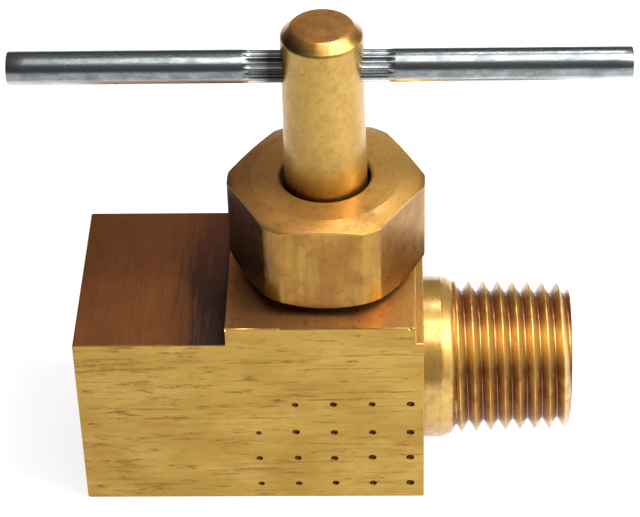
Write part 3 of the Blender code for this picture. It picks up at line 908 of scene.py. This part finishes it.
def dents(materials):
    """The marks of a vice's toothed jaws on both drawn sides, and small nicks along the upper edges."""
    rng = random.Random(7)
    points, faces = [], []
    arcs, sides = 12, 20

    def dent(x, y, z, wide, high, deep):
        """A shallow bowl: part of a ball that stands out of the face."""
        side = -1 if y < 0 else 1
        half = (wide + high) / 4
        ball = (half**2 + deep**2) / (2 * deep)
        outline = [
            (ball * math.sin(math.pi * step / arcs), -ball * math.cos(math.pi * step / arcs))
            for step in range(arcs + 1)
        ]
        outline[0], outline[-1] = (0, -ball), (0, ball)
        shell = turned(outline, sides)
        first = len(points)
        for px, py, pz in shell.points:
            points.append(
                (
                    x + px * wide / (2 * half),
                    y + side * (ball - deep) + pz,
                    z + py * high / (2 * half),
                )
            )
        faces.extend([[first + corner for corner in face] for face in shell.faces])

    first_column, tooth_pitch, grows, flattened, astray = -6.33, 3.4, 0.008, 0.84, 0.05
    rows = (1.72, 4.84, 7.97, 11.27)
    for y in (-BODY_DEPTH / 2, BODY_DEPTH / 2):
        for along in range(5):
            column = first_column + tooth_pitch * along
            for row in rows:
                if along == 0 and row == rows[3]:
                    continue
                faint = along == 0 and row == rows[2]
                depth = 0.06 if faint else rng.uniform(0.18, 0.25)
                size = rng.uniform(0.56, 0.68) + grows * (column - first_column)
                dent(
                    (column + rng.uniform(-astray, astray)) * MM,
                    y,
                    (row + rng.uniform(-astray, astray)) * MM,
                    size * MM,
                    size * flattened * MM,
                    depth * MM,
                )
    marks = len(faces)
    nick_wide, nick_high, nick_deep = 0.5 * MM, 0.4 * MM, 0.16 * MM
    for x in (-8.73, -4.13, 7.28):
        dent(x * MM, -BODY_DEPTH / 2, HIGH_TOP, nick_wide, nick_high, nick_deep)
    made = mesh_object("dents", points, faces, materials)
    for number, face in enumerate(made.data.polygons):
        face.material_index = DENTS if number < marks else TURNED
    return made


def valve_body():
    materials = body_materials()
    body = body_blank(materials)
    added = [neck(materials), male_spigot(materials)]
    cut = [
        inlet_bore(materials),
        outlet_bore(materials),
        stem_bore(materials),
        inlet_passage(materials),
        dents(materials),
    ]
    for tool in added:
        combine(body, tool, "UNION")
    for tool in cut:
        combine(body, tool, "DIFFERENCE")
    bake(body, added + cut)
    smooth(body, 32)
    keep_flats_flat(body)
    return finish_piece(body, "valve", "valve_body")


# ---------------------------------------------------------------- nut


def hexagon(angle, apothem, corner):
    """Distance from the axis to a hexagon's outline, corners along X, with its corners turned off."""
    off_flat = (angle % (TAU / 6)) - TAU / 12
    flat = apothem / math.cos(off_flat)
    blend = 0.02 * MM
    share = min(1.0, max(0.0, 0.5 + (corner - flat) / (2 * blend)))
    return corner + (flat - corner) * share - blend * share * (1 - share)


def packing_nut():
    bottom, top = NUT_LO.z, NUT_HI.z
    ceiling = 27.5 * MM
    cavity, mouth = 6.5 * MM, 0.4 * MM
    edge, fine_edge, lip, dished = 0.12 * MM, 0.05 * MM, 0.2 * MM, 0.04 * MM
    top_slope, bottom_slope = math.tan(math.radians(15)), math.tan(math.radians(35))

    def outline(angle):
        side = hexagon(angle - NUT_TURN, NUT_APOTHEM, NUT_CORNER_RADIUS)
        drop = (side - NUT_TOP_CIRCLE) * top_slope
        rise = (side - NUT_BOTTOM_CIRCLE) * bottom_slope
        return fillet(
            [
                (cavity, bottom + mouth),
                (cavity + mouth, bottom),
                (NUT_BOTTOM_CIRCLE, bottom, edge),
                (side, bottom + rise, edge),
                (side, top - drop, edge),
                (NUT_TOP_CIRCLE, top - dished, 2 * edge),
                (NUT_HOLE_RADIUS + lip, top, fine_edge),
                (NUT_HOLE_RADIUS, top - 0.75 * lip, fine_edge),
                (NUT_HOLE_RADIUS, ceiling),
                (cavity, ceiling),
            ]
        )

    nut = solid("packing_nut_visual", turned(outline, 360), [nut_brass()])
    smooth(nut, 16, weighted=True)
    return finish_piece(nut, "valve", "packing_nut")


# ---------------------------------------------------------------- stem and needle


def shank_radius(z):
    """The shank is very slightly wider towards its foot."""
    narrow, wide = 3.54 * MM, 3.66 * MM
    narrow_above, over = 37.0 * MM, 7.0 * MM
    share = min(1.0, max(0.0, (narrow_above - z) / over))
    return narrow + (wide - narrow) * share * share * (3 - 2 * share)


def valve_stem():
    socket_top, socket, lip, mouth = 17.5 * MM, 2.0 * MM, 0.6 * MM, 1.4 * MM
    nose = 3.1 * MM
    thread_start, thread_end = STEM_BOTTOM + 1.7 * MM, STEM_BOTTOM + 5.3 * MM
    thread_radius, thread_depth = 4.1 * MM, 0.6 * MM
    shoulder = STEM_TOP - 1.0 * MM
    before = fillet(
        [
            (0, socket_top),
            (socket, socket_top),
            (socket, STEM_BOTTOM + lip),
            (mouth, STEM_BOTTOM + lip),
            (mouth, STEM_BOTTOM),
            (nose, STEM_BOTTOM, 0.4 * MM),
            (nose, thread_start),
        ]
    )

    def radius_at(z, place):
        lead_in = nose + 0.05 * MM + (z - thread_start)
        lead_out = shank_radius(z) + (thread_end - z)
        return max(nose, min(thread_radius - thread_depth * groove(place), lead_in, lead_out))

    heights = [thread_end + (shoulder - thread_end) * step / 60 for step in range(1, 60)]
    shank = [(shank_radius(z), z) for z in heights]
    crown, rise, steps = 2.62 * MM, 0.1 * MM, 12
    rim = fillet(
        [
            shank[-1],
            (shank_radius(shoulder), shoulder, 0.6 * MM),
            (crown, STEM_TOP - rise, 0.4 * MM),
            (crown / 2, STEM_TOP - rise / 4),
        ],
        steps=7,
    )[1:-1]
    dome = [(crown * step / steps, STEM_TOP - rise * (step / steps) ** 2) for step in range(8, -1, -1)]
    after = shank + rim + dome
    shell = threaded(before, after, thread_start, thread_end, FINE_PITCH, thread_start, radius_at, 144)
    stem = solid("valve_stem_visual", shell, [stem_brass()])
    hole, reach = SPLINE_CREST, 5.0 * MM
    rod = turned([(0, -reach), (hole, -reach), (hole, reach), (0, reach)], 72)
    place = Matrix.Translation((0, 0, BAR_HEIGHT)) @ ALONG_X
    cutter = solid("cross_hole", rod, [], place)
    combine(stem, cutter, "DIFFERENCE")
    bake(stem, [cutter])
    smooth(stem, 30)
    return finish_piece(stem, "stem", "valve_stem")


def t_bar_handle():
    half = BAR_HI.x - BAR_MIDDLE
    teeth = 16
    left, right = -6.6 * MM, 6.6 * MM
    fade = 0.9 * MM
    valley, roundness = 1.27 * MM, 0.6

    def share(x):
        """How far the splines are formed at a place along the bar."""
        into = min(x - left, right - x) / fade
        into = min(1.0, max(0.0, into))
        return into * into * (3 - 2 * into)

    def tooth(angle):
        return valley + (SPLINE_CREST - valley) * (0.5 + 0.5 * math.cos(angle * teeth)) ** roundness

    stations = [left + (right - left) * step / 60 for step in range(61)]
    stations += [left + fade * step / 8 for step in range(1, 8)]
    stations += [right - fade * step / 8 for step in range(1, 8)]
    stations += [-half + (half + left) * step / 12 for step in range(1, 12)]
    stations += [right + (half - right) * step / 12 for step in range(1, 12)]
    stations = sorted(set(stations))
    chamfer = 0.15 * MM
    end = [
        (BAR_RADIUS, half - chamfer),
        (BAR_RADIUS - 0.3 * chamfer, half - 0.3 * chamfer),
        (BAR_RADIUS - chamfer, half),
        (0, half),
    ]
    start = [(radius, -x) for radius, x in reversed(end)]

    def outline(angle):
        return start + [(BAR_RADIUS + (tooth(angle) - BAR_RADIUS) * share(x), x) for x in stations] + end

    place = Matrix.Translation((BAR_MIDDLE, 0, BAR_HEIGHT)) @ ALONG_X
    bar = solid("t_bar_handle_visual", turned(outline, teeth * 14), [bright_steel()], place)
    smooth(bar, 40)
    return finish_piece(bar, "stem", "t_bar_handle")


def needle_tip():
    seat_bottom = CHAMBER_FLOOR - SEAT_CHAMFER
    cone = ORIFICE_RADIUS - 0.3 * math.sqrt(2) * MM
    radius, edge = 2.3 * MM, 0.06 * MM
    low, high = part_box("needle_tip")
    outline = fillet(
        [
            (0, low.z),
            (0.45 * MM, low.z, 0.15 * MM),
            (cone, seat_bottom),
            (radius, seat_bottom + radius - cone, edge),
            (radius, 13.3 * MM, edge),
            (1.1 * MM, 13.3 * MM, edge),
            (1.1 * MM, 14.5 * MM, edge),
            (1.7 * MM, 14.5 * MM, edge),
            (1.7 * MM, high.z, 0.15 * MM),
            (0, high.z),
        ]
    )
    steel = ground_steel("needle_steel_visual", NEEDLE_LIGHT, NEEDLE_DARK, 0.16)
    tip = smooth(solid("needle_tip_visual", turned(outline, 72), [steel]), 30)
    return finish_piece(tip, "needle", "needle_tip")


def thrust_ball():
    low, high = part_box("thrust_ball")
    radius, middle = (high.z - low.z) / 2, (high.z + low.z) / 2
    outline = [
        (radius * math.sin(math.pi * step / 24), middle - radius * math.cos(math.pi * step / 24))
        for step in range(25)
    ]
    outline[0], outline[-1] = (0, low.z), (0, high.z)
    steel = ground_steel("ball_steel_visual", BALL_LIGHT, BALL_DARK, 0.08)
    ball = smooth(solid("thrust_ball_visual", turned(outline, 48), [steel]), 40)
    return finish_piece(ball, "stem", "thrust_ball")


# ---------------------------------------------------------------- packing


def packing_stack():
    """Every ring keeps its CAD section, with its edges eased and many more sides."""
    polymer = packing_polymer()
    gland = turned_brass("gland_brass_visual", about_x=False)
    edge = 0.05 * MM
    rise = 0.35 * MM
    inner, outer = 3.82 * MM, 4.95 * MM
    middle = (inner + outer) / 2
    rings = {
        "packing_washer": (0, 0, gland),
        "packing_bottom_adapter": (0, 1, polymer),
        "packing_v_ring_1": (1, 1, polymer),
        "packing_v_ring_2": (1, 1, polymer),
        "packing_v_ring_3": (1, 1, polymer),
        "packing_top_adapter": (1, 0, polymer),
        "gland_follower": (0, 0, gland),
    }
    for node, (vee_below, vee_above, material) in rings.items():
        low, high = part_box(node)
        bottom, top = low.z, high.z - rise * vee_above
        outline = fillet(
            [
                (inner, bottom, edge),
                (middle, bottom + rise * vee_below, edge),
                (outer, bottom, edge),
                (outer, top, edge),
                (middle, top + rise * vee_above, edge),
                (inner, top, edge),
            ],
            closed=True,
            steps=2,
        )
        ring = smooth(solid(node + "_visual", turned(outline, 96), [material]), 40)
        finish_piece(ring, "valve", node)


# ---------------------------------------------------------------- studio


def graded(tree, coordinate, axis, low, high, dim, bright):
    """A value that runs from dim to bright as a coordinate's part on one axis runs from low to high."""
    place = tree.nodes.new("ShaderNodeTexCoord")
    parts = tree.nodes.new("ShaderNodeSeparateXYZ")
    ramp = tree.nodes.new("ShaderNodeMapRange")
    tree.links.new(place.outputs[coordinate], parts.inputs[0])
    tree.links.new(parts.outputs[axis], ramp.inputs[0])
    for key, value in enumerate((low, high, dim, bright), start=1):
        ramp.inputs[key].default_value = value
    return ramp.outputs[0]


def pale_floor():
    reach = 3.0
    corners = [(-reach, -reach, 0), (reach, -reach, 0), (reach, reach, 0), (-reach, reach, 0)]
    paper = bpy.data.materials.new("pale_floor")
    paper.use_nodes = True
    shader = paper.node_tree.nodes["Principled BSDF"]
    shader.inputs["Base Color"].default_value = (0.25, 0.25, 0.25, 1)
    shader.inputs["Roughness"].default_value = 0.8
    shader.inputs["Specular IOR Level"].default_value = 0.1
    shader.inputs["Emission Color"].default_value = (1, 1, 1, 1)
    # The floor glows as a lamp would, brighter towards +X: painted light that also lights the valve.
    glow = graded(paper.node_tree, "Object", 0, -0.03, 0.05, 0.78, 1.3)
    paper.node_tree.links.new(glow, shader.inputs["Emission Strength"])
    mesh_object("floor", corners, [[0, 1, 2, 3]], [paper])


def studio():
    """A dark room, brighter above and to the right but white to the camera, and four soft lights."""
    world = bpy.data.worlds.new("studio")
    bpy.context.scene.world = world
    world.use_nodes = True
    tree = world.node_tree
    nodes, links = tree.nodes, tree.links
    room = nodes["Background"]
    both = nodes.new("ShaderNodeMath")
    both.operation = "MULTIPLY"
    links.new(graded(tree, "Generated", 0, -0.7, 0.7, 0.25, 1.0), both.inputs[0])
    links.new(graded(tree, "Generated", 2, 0.0, 0.75, 0.25, 1.0), both.inputs[1])
    tone = nodes.new("ShaderNodeMix")
    tone.data_type = "RGBA"
    tone.inputs[6].default_value = (0.02, 0.018, 0.018, 1)
    tone.inputs[7].default_value = (0.36, 0.34, 0.33, 1)
    links.new(both.outputs[0], tone.inputs[0])
    links.new(tone.outputs[2], room.inputs["Color"])
    backdrop = nodes.new("ShaderNodeBackground")
    backdrop.inputs["Color"].default_value = (0.95, 0.95, 0.95, 1)
    path = nodes.new("ShaderNodeLightPath")
    either = nodes.new("ShaderNodeMixShader")
    links.new(path.outputs["Is Camera Ray"], either.inputs[0])
    links.new(room.outputs[0], either.inputs[1])
    links.new(backdrop.outputs[0], either.inputs[2])
    links.new(either.outputs[0], nodes["World Output"].inputs["Surface"])

    middle = Vector((0, 0, 0.02))

    def softbox(name, direction, distance, width, height, radiance):
        """An area light whose height runs along Y, or up where it stands to the side."""
        back = Vector(direction).normalized()
        right = Vector((0, 1, 0)).cross(back).normalized()
        axes = Matrix((right, back.cross(right), back)).transposed().to_4x4()
        data = bpy.data.lights.new(name, "AREA")
        data.shape = "RECTANGLE"
        data.size, data.size_y = width, height
        data.energy = radiance * math.pi * width * height
        data.color = (1.0, 0.985, 0.96)
        lamp = bpy.data.objects.new(name, data)
        lamp.matrix_world = Matrix.Translation(middle + back * distance) @ axes
        bpy.context.scene.collection.objects.link(lamp)

    softbox("softbox_main", (0.30, -0.18, 0.94), 0.6, 0.56, 0.44, 5.0)
    softbox("softbox_core", (0.42, -0.12, 0.90), 0.55, 0.12, 0.14, 24.0)
    softbox("softbox_back", (0.17, 0.45, 0.88), 0.6, 0.16, 0.12, 8.0)
    softbox("softbox_right", (0.82, -0.14, 0.55), 0.7, 0.36, 0.36, 5.0)


def camera():
    focal_px, frame_px, sensor = 2589.8, 640, 36.0
    azimuth, elevation, roll = (math.radians(a) for a in (2.363, 38.555, -1.8235))
    target = Vector((-0.7284, 0, 20.331)) * MM
    distance = 232.30 * MM
    back = Vector(
        (
            math.sin(azimuth) * math.cos(elevation),
            -math.cos(azimuth) * math.cos(elevation),
            math.sin(elevation),
        )
    )
    right = (-back).cross(Vector((0, 0, 1))).normalized()
    up = right.cross(-back)
    turned_right = math.cos(roll) * right + math.sin(roll) * up
    turned_up = -math.sin(roll) * right + math.cos(roll) * up
    data = bpy.data.cameras.new("camera")
    data.sensor_width = sensor
    data.lens = focal_px * sensor / frame_px
    data.clip_start, data.clip_end = 0.005, 20
    made = bpy.data.objects.new("camera", data)
    axes = Matrix((turned_right, turned_up, back)).transposed().to_4x4()
    made.matrix_world = Matrix.Translation(target + back * distance) @ axes
    bpy.context.scene.collection.objects.link(made)
    bpy.context.scene.camera = made


valve_body()
packing_nut()
valve_stem()
t_bar_handle()
needle_tip()
thrust_ball()
packing_stack()
pale_floor()
studio()
camera()
bpy.context.scene.view_settings.view_transform = "Standard"
